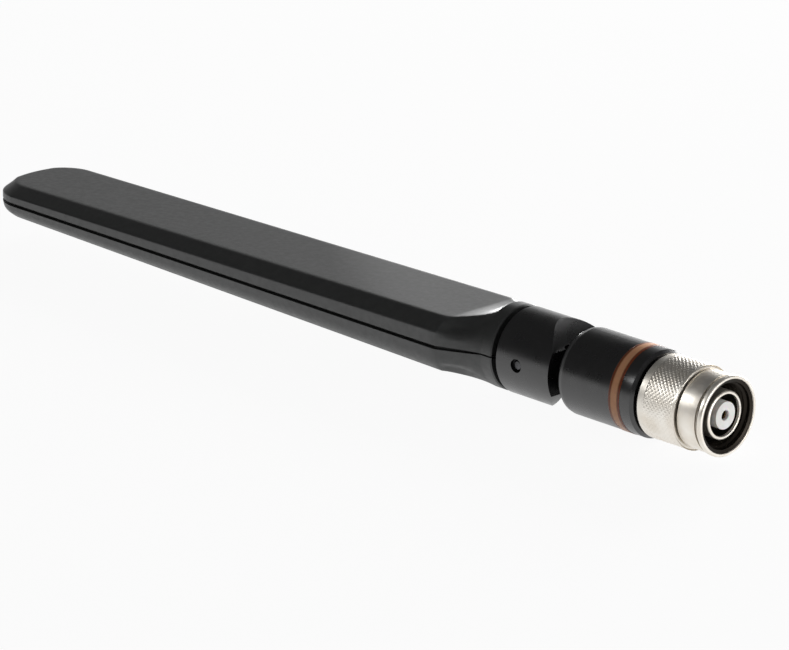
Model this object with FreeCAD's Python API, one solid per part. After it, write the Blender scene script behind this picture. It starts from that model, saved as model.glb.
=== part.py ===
# Articulated blade antenna: a flat two-shell blade, a fold-and-swivel base and a
# coaxial plug with a screwed coupling nut.
# Frame: the origin is the centre of the coupling nut's mouth. +X runs along the axis
# out of the mouth, +Z stands square to the blade's face, and the blade runs to -X.
# Sizes are in millimetres. "Behind the mouth" means along -X from the origin.

import FreeCAD, Part
import math
import os

# Lengths along the axis, from the mouth to the blade's tip
nut_length = 13.5
nut_gap = 0.5
barrel_length = 16.8
hinge_gap = 1.4
collar_length = 3.3
neck_taper = 7.5
blade_length = 113.6

# Outer radii of the round parts
nut_radius = 7.0
nut_nose_radius = 6.35
nut_lip_radius = 6.65
barrel_radius = 7.35
collar_radius = 7.3

# Running clearances
turning_clearance = 0.06
end_play = 0.1
loose_clearance = 0.3
press_allowance = 0.02

# Blade form
blade_half_width = 10.5
tip_arc_radius = 15.0
tip_corner_radius = 4.0
face_bevel_width = 2.9
face_height_root = 4.65
face_height_tip = 2.75
shoulder_height_root = 2.78
shoulder_height_tip = 1.42
sill_depth_root = 3.61
sill_depth_tip = 1.8
back_edge_width = 2.3
back_edge_depth = 1.15
back_edge_steps = 3
shell_wall = 1.6
shell_skin = 1.3
parting_groove_height = 0.3
parting_groove_depth = 0.4
lip_width = 0.7
lip_height = 0.8
edge_break = 0.25
neck_stations = 5
neck_hollow = 0.5
crown_angle = 62.0
shoulder_angle = 22.0

# Circuit board and what fixes it
board_side_gap = 1.5
board_thickness = 0.8
board_tip_gap = 9.8
board_corner = 1.5
board_setback = 6.2
peg_radius = 0.7
peg_reach = 0.8
post_radius = 1.6
post_spacing = 38.0
post_first = 12.0
post_edge = 2.2
copper_thickness = 0.07
copper_margin = 0.8
low_arm_length = 29.0
low_arm_width = 1.8
high_arm_length = 12.5
high_arm_width = 2.6
feed_gap = 1.6
feed_line_width = 1.5
ground_strip_width = 3.0
feed_distance = 40.0
pad_length = 9.0
pad_side_gap = 0.6
pad_setback = 4.0
solder_radius = 1.1
solder_height = 0.95

# Hinge
fork_reach = 7.1
fold_clearance = 0.5
eye_radius = 3.9
tongue_half_width = 2.7
slot_half_width = 3.25
fork_rear_wall = 0.5
pin_radius = 1.0
pin_chamfer = 0.3
pin_recess = 0.35
pin_mouth_radius = 1.15
pin_mouth_depth = 0.7
pin_inner_end = 1.5
washer_radius = 3.2
barrel_end_round = 1.6
barrel_round_steps = 4
spigot_radius = 5.2
spigot_length = 5.5
flange_radius = 6.1
flange_length = 1.6
flange_setback = 1.9
spigot_flat = 4.4

# Swivel base
barrel_front_chamfer = 0.5
band_setback = 3.2
band_width = 1.2
band_depth = 0.5
band_proud = 0.06
swivel_bore_radius = 4.66
ring_setback = 1.6
ring_section = 1.2
ring_groove_radius = 3.7
clip_setback = 5.0
clip_thickness = 0.7
clip_bite = 0.55
clip_inner_radius = 4.1
clip_slit_angle = 40.0

# Coupling nut
lip_length = 0.8
lip_groove_length = 0.35
lip_groove_depth = 0.3
nose_length = 5.0
knurl_groove_length = 0.4
knurl_groove_depth = 0.35
rear_chamfer_length = 1.0
rear_chamfer_depth = 0.8
mouth_radius = 6.1
mouth_chamfer_length = 0.6
thread_minor_radius = 5.15
thread_end = 5.6
nut_cavity_radius = 5.85
nut_shelf = 9.4

# Connector body and what it holds
contact_sleeve_radius = 4.05
contact_sleeve_bore = 3.5
contact_sleeve_setback = 0.7
sleeve_nose_chamfer = 0.25
body_flange_front = 7.0
body_flange_length = 2.2
snap_ring_setback = 1.1
snap_ring_width = 0.8
snap_ring_inner_radius = 4.15
snap_ring_bite = 0.45
snap_ring_slit_angle = 30.0
stem_end = 20.4
gasket_thickness = 0.7
gasket_clearance = 0.1
gasket_seat_depth = 0.35
insulator_radius = 2.3
insulator_setback = 0.6
insulator_rear_radius = 2.0
insulator_rear_length = 2.2
entry_radius = 0.72
entry_length = 0.7
contact_radius = 1.05
contact_bore_radius = 0.685
contact_bore_length = 4.0
contact_cup_length = 1.8
contact_rear_margin = 0.4
tail_radius = 1.3
tail_length = 3.0
ferrule_wall = 0.4
ferrule_length = 6.0

# Coaxial lead
jacket_radius = 0.9
core_radius = 0.45
wire_radius = 0.25
lead_clearance = 0.05
lead_channel_radius = 1.25
lead_core_bare = 2.5

# Stations behind the mouth, worked out from the lengths
barrel_front = nut_length + nut_gap
barrel_rear = barrel_front + barrel_length
fork_front = barrel_rear + hinge_gap
pin_station = fork_front + fork_reach
pin_setback = eye_radius + loose_clearance + fork_rear_wall
fork_rear = pin_station + pin_setback
collar_rear = fork_rear + collar_length
blade_root = collar_rear + neck_taper
blade_tip = blade_root + blade_length
board_front = blade_root + board_setback
board_rear = blade_tip - shell_wall - board_tip_gap
cavity_front = board_front - shell_wall
spigot_rear = fork_rear + spigot_length
ferrule_rear = stem_end + ferrule_length
contact_front = insulator_setback + entry_length
insulator_step = body_flange_front
insulator_seat = insulator_step + body_flange_length
insulator_rear = insulator_seat + insulator_rear_length
contact_rear = insulator_rear - contact_rear_margin
tail_rear = stem_end + tail_length
swivel_bore_end = ferrule_rear + loose_clearance
gasket_front = body_flange_front - gasket_thickness
lead_core_rear = board_front + lead_core_bare
lead_wire_rear = lead_core_rear + 2 * (solder_radius + lead_clearance)

# The board fills the shells' room but for its gaps, just under the lead's bared core
board_half_width = blade_half_width - shell_wall - board_side_gap
post_side = board_half_width - post_edge
board_top = -(core_radius + lead_clearance + copper_thickness)
board_bottom = board_top - board_thickness

# Radii worked out from what they run in
stem_radius = swivel_bore_radius - turning_clearance
nut_bore_radius = stem_radius + turning_clearance
body_flange_radius = nut_cavity_radius - loose_clearance
fork_round_radius = fork_reach + hinge_gap - fold_clearance

ORIGIN = FreeCAD.Vector(0, 0, 0)
X_AXIS = FreeCAD.Vector(1, 0, 0)
Y_AXIS = FreeCAD.Vector(0, 1, 0)
Z_AXIS = FreeCAD.Vector(0, 0, 1)


def at(behind, y=0.0, z=0.0):
    """A point given by its distance behind the mouth."""
    return FreeCAD.Vector(-behind, y, z)


def turned(profile):
    """Revolve a closed outline of (behind the mouth, radius) pairs about the axis."""
    corners = [at(behind, 0, radius) for behind, radius in profile]
    face = Part.Face(Part.makePolygon(corners + corners[:1]))
    return face.revolve(ORIGIN, X_AXIS, 360)


def tube(front, rear, outer, inner):
    """A plain ring or sleeve on the axis."""
    return turned([(front, inner), (front, outer), (rear, outer), (rear, inner)])


def rod(front, rear, radius):
    """A plain round bar on the axis."""
    return Part.makeCylinder(radius, rear - front, at(rear), X_AXIS)


def block(front, rear, half_width, low, high):
    """A box across the axis, from one station to another."""
    return Part.makeBox(rear - front, 2 * half_width, high - low, at(rear, -half_width, low))


def across(radius, y_from, y_to, behind):
    """A round bar along Y at a station."""
    return Part.makeCylinder(radius, y_to - y_from, at(behind, y_from), Y_AXIS)


def slit(angle, reach, front, rear):
    """A wedge that opens a ring on its underside, as the gap of a snap ring."""
    half = math.radians(angle / 2)
    corners = [
        at(front),
        at(front, reach * math.tan(half), -reach),
        at(front, -reach * math.tan(half), -reach),
        at(front),
    ]
    return Part.Face(Part.makePolygon(corners)).extrude(at(rear - front))


def blade_chain(inset, root):
    """The blade's plan from its root round the tip and back, drawn in by an inset.

    The sides are straight, a small arc turns each corner, and one broad arc closes
    the tip.
    """
    half = blade_half_width - inset
    tip = blade_tip - inset
    broad = tip_arc_radius - inset
    corner = max(tip_corner_radius - inset, edge_break)
    arc_centre = tip - broad
    corner_centre = arc_centre + math.sqrt((broad - corner) ** 2 - (half - corner) ** 2)
    lean = math.atan2(half - corner, corner_centre - arc_centre)
    meet_along = arc_centre + broad * math.cos(lean)
    meet_across = broad * math.sin(lean)
    turn = (math.pi / 2 + lean) / 2
    turn_along = corner_centre + corner * math.cos(turn)
    turn_across = half - corner + corner * math.sin(turn)
    near = at(corner_centre, -half)
    near_turn = at(turn_along, -turn_across)
    near_meet = at(meet_along, -meet_across)
    far = at(corner_centre, half)
    far_turn = at(turn_along, turn_across)
    far_meet = at(meet_along, meet_across)
    return [
        Part.makeLine(at(root, -half), near),
        Part.Arc(near, near_turn, near_meet).toShape(),
        Part.Arc(near_meet, at(tip), far_meet).toShape(),
        Part.Arc(far_meet, far_turn, far).toShape(),
        Part.makeLine(far, at(root, half)),
    ]


def level_at(behind, height_root, height_tip):
    """The height at a station of a level that falls evenly from the root to the tip."""
    return height_root + (height_tip - height_root) * (behind - blade_root) / blade_length


def blade_outline(inset, root, height_root, height_tip):
    """The blade's plan closed across its root, on a level that falls evenly to the tip."""
    half = blade_half_width - inset
    closing = Part.makeLine(at(root, half), at(root, -half))
    fall = (height_root - height_tip) / blade_length
    level = FreeCAD.Matrix()
    level.A31 = fall
    level.A34 = height_root + fall * blade_root
    return Part.Wire(blade_chain(inset, root) + [closing]).transformGeometry(level)


def stacked(outlines):
    """A solid ruled through outlines that lie one over another."""
    return Part.makeLoft(outlines, True, True)


def back_edge_point(step):
    """How far the rounded back edge has come in and down after a number of its steps."""
    angle = math.pi / 2 * step / back_edge_steps
    return back_edge_width * (1 - math.cos(angle)), back_edge_depth * math.sin(angle)


def neck_section(half_section, angles, blend):
    """Half of the neck's section as one closed wire that ends on the parting plane.

    Each corner moves from the blade's polygon to its place on the collar's circle:
    outwards in step with the taper, and up or down as the square of it. Each side
    bends from straight to the circle's arc, and the flank beside the crown is drawn
    in between the two, as a hollow.
    """
    sign = 1 if half_section[-1][1] > 0 else -1
    station = blade_root - neck_taper * blend
    ease = blend ** 2
    right = []
    for (half_width, height), angle in zip(half_section, angles):
        ring = ring_point(angle, sign)
        y = half_width + (ring.y - half_width) * blend
        z = height + (ring.z - height) * ease
        right.append((at(station, y, z), angle))
    left = [(at(station, -point.y, point.z), 180 - angle) for point, angle in reversed(right)]
    around = right + left
    flank = (angles[-2] + angles[-1]) / 2
    edges = []
    for (first, first_angle), (last, last_angle) in zip(around, around[1:]):
        if blend == 0:
            edges.append(Part.makeLine(first, last))
            continue
        middle_angle = (first_angle + last_angle) / 2
        ring_chord = (ring_point(first_angle, sign) + ring_point(last_angle, sign)) / 2
        bulge = ring_point(middle_angle, sign) - ring_chord
        middle = (first + last) / 2 + bulge * ease
        if min(middle_angle, 180 - middle_angle) == flank:
            inward = FreeCAD.Vector(0, -middle.y, -middle.z).normalize()
            middle = middle + inward * (4 * neck_hollow * blend * (1 - blend))
        edges.append(Part.Arc(first, middle, last).toShape())
    edges.append(Part.makeLine(around[-1][0], around[0][0]))
    return Part.Wire(edges)


def ring_point(angle, sign):
    """A point of the collar's circle, by its angle from the parting plane."""
    turn = math.radians(angle)
    return FreeCAD.Vector(0, collar_radius * math.cos(turn), sign * collar_radius * math.sin(turn))


def neck(half_section, angles):
    """The neck: one smooth skin through sections from the blade's root to the collar."""
    steps = range(neck_stations + 1)
    wires = [neck_section(half_section, angles, step / neck_stations) for step in steps]
    return Part.makeLoft(wires, True, False)


def half_collar(upward):
    """One half of the round collar that closes on the hinge fork's spigot."""
    ring = rod(fork_rear, collar_rear, collar_radius)
    edge = [edge for edge in ring.Edges if abs(edge.CenterOfMass.x + fork_rear) < edge_break]
    ring = ring.makeChamfer(edge_break, edge)
    low, high = (0, collar_radius) if upward else (-collar_radius, 0)
    return ring.common(block(fork_rear, collar_rear, collar_radius, low, high))


def spigot(grow):
    """The fork's stub between the shells: a neck, a flange and two flats.

    Grown by a clearance it is the seat that the shells leave for it.
    """
    flange_front = fork_rear + flange_setback
    flange_rear = flange_front + flange_length
    neck_part = rod(fork_rear, spigot_rear + grow, spigot_radius + grow)
    flange = rod(flange_front - grow, flange_rear + grow, flange_radius + grow)
    whole = neck_part.fuse(flange)
    side = spigot_flat + grow
    flats = block(fork_rear, spigot_rear + grow, side, -flange_radius - grow, flange_radius + grow)
    return whole.common(flats)


def parting_groove():
    """The fine groove that runs round the blade where the two shells meet."""
    band = Z_AXIS * parting_groove_height
    outer = plan_face(-parting_groove_depth).extrude(band)
    inner = plan_face(parting_groove_depth).extrude(band)
    groove = outer.cut(inner)
    groove.translate(band * -0.5)
    return groove


def plan_face(inset):
    """The whole plan of the shells on the parting plane, drawn in by an inset."""
    half = blade_half_width - inset
    ring = collar_radius - inset
    way_round = [
        at(blade_root, half),
        at(collar_rear, ring),
        at(fork_rear, ring),
        at(fork_rear, -ring),
        at(collar_rear, -ring),
        at(blade_root, -half),
    ]
    sides = [Part.makeLine(start, end) for start, end in zip(way_round, way_round[1:])]
    return Part.Face(Part.Wire(blade_chain(inset, blade_root) + sides))


def flat_plan(inset, root):
    """The blade's plan as a face on the parting plane, from a given station to the tip."""
    return Part.Face(blade_outline(inset, root, 0, 0))


def lip(grow):
    """The raised lip inside the lower shell's rim, grown by a clearance for its rebate."""
    outside = shell_wall - lip_width
    outer = flat_plan(outside - grow, cavity_front - lip_width - grow)
    inner = flat_plan(shell_wall + grow, cavity_front + grow)
    ring = outer.cut(inner)
    return ring.extrude(Z_AXIS * (lip_height + grow))


def post_places():
    """Where the board's posts stand: pairs, a fixed spacing apart along the board."""
    count = int((board_rear - board_front - post_first - post_radius) // post_spacing) + 1
    for i in range(count):
        for side in (-post_side, post_side):
            yield board_front + post_first + i * post_spacing, side


def upright(radius, behind, y, low, high):
    """A round post square to the blade."""
    return Part.makeCylinder(radius, high - low, at(behind, y, low), Z_AXIS)


def upper_cavity():
    """The room over the board inside the upper shell."""
    roof_inset = shell_wall + face_bevel_width - shell_skin
    return stacked([
        blade_outline(shell_wall, cavity_front, 0, 0),
        blade_outline(
            shell_wall,
            cavity_front,
            shoulder_height_root - shell_skin / 2,
            shoulder_height_tip - shell_skin / 2,
        ),
        blade_outline(
            roof_inset,
            cavity_front,
            face_height_root - shell_skin,
            face_height_tip - shell_skin,
        ),
    ])


def lower_cavity():
    """The room under the board inside the lower shell."""
    floor_inset = shell_wall + back_edge_width / 2
    floor_root = -(sill_depth_root + back_edge_depth - shell_skin)
    floor_tip = -(sill_depth_tip + back_edge_depth - shell_skin)
    return stacked([
        blade_outline(shell_wall, cavity_front, 0, 0),
        blade_outline(shell_wall, cavity_front, floor_root / 2, floor_tip / 2),
        blade_outline(floor_inset, cavity_front, floor_root, floor_tip),
    ])


def lead_channel():
    """The round way through the neck that carries the lead to the board."""
    return rod(fork_rear, board_front, lead_channel_radius)


def joined_shell(blade, neck_part, collar, hollows):
    """A shell from its three stretches, each cut to shape before they are joined."""
    stretches = []
    for stretch in (blade, neck_part, collar):
        for hollow in hollows:
            stretch = stretch.cut(hollow)
        stretches.append(stretch)
    return stretches[0].fuse(stretches[1:])


def make_upper_shell():
    """The blade's face: flat, bevelled all round, rising to the round collar."""
    blade = stacked([
        blade_outline(0, blade_root, 0, 0),
        blade_outline(0, blade_root, shoulder_height_root, shoulder_height_tip),
        blade_outline(face_bevel_width, blade_root, face_height_root, face_height_tip),
    ])
    half_section = [
        (blade_half_width, 0.0),
        (blade_half_width, shoulder_height_root),
        (blade_half_width - face_bevel_width, face_height_root),
    ]
    shell = joined_shell(
        blade.cut(upper_cavity()),
        neck(half_section, [0.0, shoulder_angle, crown_angle]),
        half_collar(True),
        [parting_groove(), lip(turning_clearance), spigot(turning_clearance), lead_channel()],
    )
    mid_roof_root = face_height_root - shell_skin / 2
    mid_roof_tip = face_height_tip - shell_skin / 2
    sockets = []
    for behind, y in post_places():
        mid_roof = level_at(behind, mid_roof_root, mid_roof_tip)
        shell = shell.fuse(upright(post_radius, behind, y, board_top, mid_roof))
        socket_top = board_top + peg_reach + end_play
        sockets.append(upright(peg_radius + turning_clearance, behind, y, board_top, socket_top))
    return shell.cut(sockets)


def make_lower_shell():
    """The blade's back, with rounded edges, the locating lip and the board's pegs."""
    outlines = [blade_outline(0, blade_root, 0, 0)]
    half_section = [(blade_half_width, 0.0)]
    angles = [0.0]
    for step in range(back_edge_steps + 1):
        come_in, come_down = back_edge_point(step)
        root_level = -(sill_depth_root + come_down)
        outlines.append(blade_outline(come_in, blade_root, root_level, -(sill_depth_tip + come_down)))
        half_section.append((blade_half_width - come_in, root_level))
        angles.append(shoulder_angle + (crown_angle - shoulder_angle) * step / back_edge_steps)
    shell = joined_shell(
        stacked(outlines).cut(lower_cavity()),
        neck(half_section, angles),
        half_collar(False),
        [parting_groove(), spigot(turning_clearance), lead_channel()],
    )
    mid_floor_root = shell_skin / 2 - sill_depth_root - back_edge_depth
    mid_floor_tip = shell_skin / 2 - sill_depth_tip - back_edge_depth
    for behind, y in post_places():
        mid_floor = level_at(behind, mid_floor_root, mid_floor_tip)
        post = upright(post_radius, behind, y, mid_floor, board_bottom)
        peg = upright(peg_radius, behind, y, board_bottom, board_top + peg_reach)
        shell = shell.fuse([post, peg])
    return shell.fuse(lip(0).cut(lead_channel()))


def make_circuit_board():
    """Glass-fibre board, round-cornered, with the pegs' holes."""
    board = block(board_front, board_rear, board_half_width, board_bottom, board_top)
    uprights = [edge for edge in board.Edges if abs(edge.tangentAt(edge.FirstParameter).z) > 0.5]
    board = board.makeFillet(board_corner, uprights)
    holes = [
        upright(peg_radius + turning_clearance, behind, y, board_bottom, board_top)
        for behind, y in post_places()
    ]
    return board.cut(holes)


def strip(front, rear, y_from, y_to, level):
    """One flat run of copper foil."""
    return Part.makeBox(rear - front, y_to - y_from, copper_thickness, at(rear, y_from, level))


def dipole_half(feed, outward, level):
    """Half of the two-band dipole: a long outer pair of arms and a short middle one."""
    edge = post_side - post_radius - copper_margin
    far_low = feed + outward * low_arm_length
    far_high = feed + outward * high_arm_length
    arms = [
        strip(min(feed, far_low), max(feed, far_low), edge - low_arm_width, edge, level),
        strip(min(feed, far_low), max(feed, far_low), -edge, low_arm_width - edge, level),
    ]
    bar_end = feed + outward * high_arm_width
    bar = strip(min(feed, bar_end), max(feed, bar_end), -edge, edge, level)
    middle = strip(
        min(feed, far_high), max(feed, far_high), -high_arm_width / 2, high_arm_width / 2, level
    )
    return bar.fuse(arms + [middle]).removeSplitter()


def make_front_copper():
    """Foil on the board's upper side: the far half of the dipole and its feed line."""
    feed = board_front + feed_distance + feed_gap / 2
    half = dipole_half(feed, 1, board_top)
    side = feed_line_width / 2
    line = strip(board_front + copper_margin, feed + high_arm_width / 2, -side, side, board_top)
    return half.fuse(line).removeSplitter()


def make_back_copper():
    """Foil on the board's lower side: the near half of the dipole and its ground strip."""
    level = board_bottom - copper_thickness
    feed = board_front + feed_distance - feed_gap / 2
    half = dipole_half(feed, -1, level)
    side = ground_strip_width / 2
    line = strip(board_front + copper_margin, feed - high_arm_width / 2, -side, side, level)
    return half.fuse(line).removeSplitter()


def make_feed_solder():
    """Solder that joins the lead's wire to the upper feed line."""
    top = board_top + copper_thickness
    middle = (lead_core_rear + lead_wire_rear) / 2
    cone = Part.makeCone(solder_radius, solder_radius / 2, solder_height, at(middle, 0, top), Z_AXIS)
    wire_way = rod(middle - solder_radius, middle + solder_radius, wire_radius + lead_clearance)
    return cone.cut(wire_way)


def make_foam_pad():
    """Soft pad on the board's far end that keeps it from rattling under the roof."""
    rear = board_rear - pad_setback
    roof = level_at(rear, face_height_root - shell_skin, face_height_tip - shell_skin)
    half_width = post_side - post_radius - pad_side_gap
    return block(rear - pad_length, rear, half_width, board_top + copper_thickness, roof)


def make_hinge_fork():
    """The hinge's outer half: round outside, slotted for the tongue, open below and ahead."""
    drum = rod(fork_front, fork_rear, barrel_radius)
    rear_edge = [edge for edge in drum.Edges if abs(edge.CenterOfMass.x + fork_rear) < edge_break]
    drum = drum.makeChamfer(edge_break, rear_edge)
    nose = across(fork_round_radius, -barrel_radius, barrel_radius, pin_station)
    behind_nose = block(pin_station, fork_rear, barrel_radius, -barrel_radius, barrel_radius)
    drum = drum.common(nose.fuse(behind_nose))
    slot_reach = eye_radius + loose_clearance
    eye_room = across(slot_reach, -slot_half_width, slot_half_width, pin_station)
    ahead = block(fork_front, pin_station, slot_half_width, -slot_reach, slot_reach)
    below = block(fork_front, pin_station + slot_reach, slot_half_width, -barrel_radius, 0)
    lead_way = rod(pin_station, spigot_rear, lead_channel_radius)
    fork = drum.fuse(spigot(0))
    fork = fork.cut([eye_room, ahead, below, lead_way])
    for side in (-1, 1):
        inner, outer = sorted((side * slot_half_width, side * barrel_radius))
        mouth_from = side * (cheek_face() - pin_mouth_depth)
        mouth_low, mouth_high = sorted((mouth_from, side * barrel_radius))
        fork = fork.cut([
            across(pin_radius, inner, outer, pin_station),
            across(pin_mouth_radius, mouth_low, mouth_high, pin_station),
        ])
    return fork


def cheek_face():
    """How far out the fork's side stands beside the pin's mouth."""
    return math.sqrt(barrel_radius ** 2 - pin_mouth_radius ** 2)


def make_hinge_pins():
    """Two short pins, one through each cheek, that leave the middle free for the lead."""
    pins = []
    length = cheek_face() - pin_recess - pin_inner_end
    for side in (-1, 1):
        start = at(pin_station, side * pin_inner_end)
        pin = Part.makeCylinder(pin_radius, length, start, Y_AXIS * side)
        pins.append(pin.makeChamfer(pin_chamfer, [edge for edge in pin.Edges if edge.Closed]))
    return Part.makeCompound(pins)


def make_friction_washers():
    """Two washers between the tongue and the cheeks that hold the blade where it is set."""
    thickness = slot_half_width - tongue_half_width - lead_clearance
    rings = []
    for side in (-1, 1):
        low, high = sorted((side * slot_half_width, side * (slot_half_width - thickness)))
        ring = across(washer_radius, low, high, pin_station)
        rings.append(ring.cut(across(pin_radius, low, high, pin_station)))
    return Part.makeCompound(rings)


def barrel_profile():
    """The barrel's outline: a chamfer ahead and a round, in short steps, at the hinge."""
    outline = [
        (barrel_rear, 0),
        (barrel_front, 0),
        (barrel_front, barrel_radius - barrel_front_chamfer),
        (barrel_front + barrel_front_chamfer, barrel_radius),
    ]
    for step in range(barrel_round_steps + 1):
        angle = math.pi / 2 * step / barrel_round_steps
        behind = barrel_rear - barrel_end_round * (1 - math.sin(angle))
        outline.append((behind, barrel_radius - barrel_end_round * (1 - math.cos(angle))))
    return outline


def make_swivel_barrel():
    """The hinge's inner half: a barrel bored for the plug's stem, and a slotted tongue."""
    barrel = turned(barrel_profile())
    arm = block(barrel_rear - barrel_end_round, pin_station, tongue_half_width, -eye_radius, eye_radius)
    eye = across(eye_radius, -tongue_half_width, tongue_half_width, pin_station)
    barrel = barrel.fuse([arm, eye])
    lead_half = lead_channel_radius
    eye_slot = block(pin_station, pin_station + eye_radius, lead_half, -eye_radius, lead_half)
    below_slot = block(pin_station - eye_radius, pin_station, lead_half, -eye_radius, 0)
    band_front = barrel_front + band_setback
    band_rear = band_front + band_width
    band_seat = tube(band_front, band_rear, barrel_radius + band_depth, barrel_radius - band_depth)
    clip_front = barrel_front + clip_setback
    clip_room = tube(
        clip_front - end_play,
        clip_front + clip_thickness + end_play,
        swivel_bore_radius + clip_bite + turning_clearance,
        swivel_bore_radius - clip_bite,
    )
    return barrel.cut([
        rod(barrel_front, swivel_bore_end, swivel_bore_radius),
        rod(swivel_bore_end, pin_station, lead_half),
        eye_slot,
        below_slot,
        across(pin_radius + turning_clearance, -tongue_half_width, tongue_half_width, pin_station),
        band_seat,
        clip_room,
    ])


def make_colour_band():
    """The coloured ring let into the barrel near its front end."""
    front = barrel_front + band_setback
    return tube(front, front + band_width, barrel_radius + band_proud, barrel_radius - band_depth)


def make_swivel_clip():
    """The split ring that keeps the barrel on the plug's stem."""
    front = barrel_front + clip_setback
    ring = tube(front, front + clip_thickness, swivel_bore_radius + clip_bite, clip_inner_radius)
    return ring.cut(slit(clip_slit_angle, barrel_radius, front, front + clip_thickness))


def make_swivel_seal():
    """The rubber ring on the stem that seals the swivel and gives it drag."""
    front = barrel_front + ring_setback
    return tube(
        front + end_play,
        front + ring_section - end_play,
        swivel_bore_radius - lead_clearance,
        ring_groove_radius,
    )


def make_connector_body():
    """The plug's turned body: contact sleeve, flange, stem with grooves and crimp tail."""
    flange_rear = body_flange_front + body_flange_length
    snap_front = flange_rear + snap_ring_setback
    snap_rear = snap_front + snap_ring_width
    seal_front = barrel_front + ring_setback
    seal_rear = seal_front + ring_section
    clip_front = barrel_front + clip_setback
    clip_rear = clip_front + clip_thickness
    nose = contact_sleeve_setback + sleeve_nose_chamfer
    return turned([
        (contact_sleeve_setback, contact_sleeve_bore),
        (contact_sleeve_setback, contact_sleeve_radius - sleeve_nose_chamfer),
        (nose, contact_sleeve_radius),
        (gasket_front, contact_sleeve_radius),
        (gasket_front, contact_sleeve_radius - gasket_seat_depth),
        (body_flange_front, contact_sleeve_radius - gasket_seat_depth),
        (body_flange_front, body_flange_radius),
        (flange_rear, body_flange_radius),
        (flange_rear, stem_radius),
        (snap_front, stem_radius),
        (snap_front, snap_ring_inner_radius),
        (snap_rear, snap_ring_inner_radius),
        (snap_rear, stem_radius),
        (seal_front, stem_radius),
        (seal_front, ring_groove_radius),
        (seal_rear, ring_groove_radius),
        (seal_rear, stem_radius),
        (clip_front, stem_radius),
        (clip_front, clip_inner_radius),
        (clip_rear, clip_inner_radius),
        (clip_rear, stem_radius),
        (stem_end, stem_radius),
        (stem_end, tail_radius),
        (tail_rear, tail_radius),
        (tail_rear, core_radius + lead_clearance),
        (insulator_rear, core_radius + lead_clearance),
        (insulator_rear, insulator_rear_radius + press_allowance),
        (insulator_seat, insulator_rear_radius + press_allowance),
        (insulator_seat, contact_sleeve_bore),
    ])


def make_insulator():
    """The white insulator: a nose with the contact's entry, a seat and a rear spigot."""
    return turned([
        (insulator_setback, entry_radius),
        (insulator_setback, insulator_radius),
        (insulator_step, insulator_radius),
        (insulator_step, contact_sleeve_bore - press_allowance),
        (insulator_seat, contact_sleeve_bore - press_allowance),
        (insulator_seat, insulator_rear_radius),
        (insulator_rear, insulator_rear_radius),
        (insulator_rear, contact_radius + press_allowance),
        (contact_front, contact_radius + press_allowance),
        (contact_front, entry_radius),
    ])


def make_centre_contact():
    """The socket that takes the mating pin, with a cup at its rear for the lead's wire."""
    bore_end = contact_front + contact_bore_length
    cup_front = contact_rear - contact_cup_length
    return turned([
        (contact_front, contact_bore_radius),
        (contact_front, contact_radius),
        (contact_rear, contact_radius),
        (contact_rear, wire_radius + lead_clearance),
        (cup_front, wire_radius + lead_clearance),
        (cup_front, 0),
        (bore_end, 0),
        (bore_end, contact_bore_radius),
    ])


def make_crimp_ferrule():
    """The sleeve crimped over the plug's tail and necked down on the lead's jacket."""
    step = tail_rear
    inner = jacket_radius + lead_clearance
    return turned([
        (stem_end, tail_radius),
        (stem_end, tail_radius + ferrule_wall),
        (step, tail_radius + ferrule_wall),
        (step + ferrule_wall, inner + ferrule_wall),
        (ferrule_rear, inner + ferrule_wall),
        (ferrule_rear, inner),
        (step, inner),
        (step, tail_radius),
    ])


def make_nut_snap_ring():
    """The split ring that holds the coupling nut on the body and lets it spin."""
    front = body_flange_front + body_flange_length + snap_ring_setback
    outer = stem_radius + snap_ring_bite
    ring = tube(front, front + snap_ring_width, outer, snap_ring_inner_radius)
    return ring.cut(slit(snap_ring_slit_angle, nut_radius, front, front + snap_ring_width))


def make_face_gasket():
    """The rubber ring at the bottom of the nut's cavity that seals against the socket."""
    return tube(
        gasket_front,
        body_flange_front,
        body_flange_radius - gasket_clearance,
        contact_sleeve_radius - gasket_seat_depth,
    )


def make_coupling_nut():
    """The coupling nut: lipped nose, relief grooves, grip section, thread bore, cavity."""
    snap_front = body_flange_front + body_flange_length + snap_ring_setback
    snap_rear = snap_front + snap_ring_width
    snap_room = stem_radius + snap_ring_bite + turning_clearance
    lip_end = lip_length
    groove_end = lip_end + lip_groove_length
    grip_front = nose_length + knurl_groove_length
    return turned([
        (0, mouth_radius),
        (0, nut_lip_radius - edge_break),
        (edge_break, nut_lip_radius),
        (lip_end, nut_lip_radius),
        (lip_end, nut_nose_radius - lip_groove_depth),
        (groove_end, nut_nose_radius - lip_groove_depth),
        (groove_end, nut_nose_radius),
        (nose_length, nut_nose_radius),
        (nose_length, nut_nose_radius - knurl_groove_depth),
        (grip_front, nut_nose_radius - knurl_groove_depth),
        (grip_front + edge_break, nut_radius),
        (nut_length - rear_chamfer_length, nut_radius),
        (nut_length, nut_radius - rear_chamfer_depth),
        (nut_length, nut_bore_radius),
        (snap_rear + end_play, nut_bore_radius),
        (snap_rear + end_play, snap_room),
        (snap_front - end_play, snap_room),
        (snap_front - end_play, nut_bore_radius),
        (nut_shelf, nut_bore_radius),
        (nut_shelf, nut_cavity_radius),
        (thread_end, nut_cavity_radius),
        (thread_end, thread_minor_radius),
        (mouth_chamfer_length, thread_minor_radius),
    ])


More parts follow.
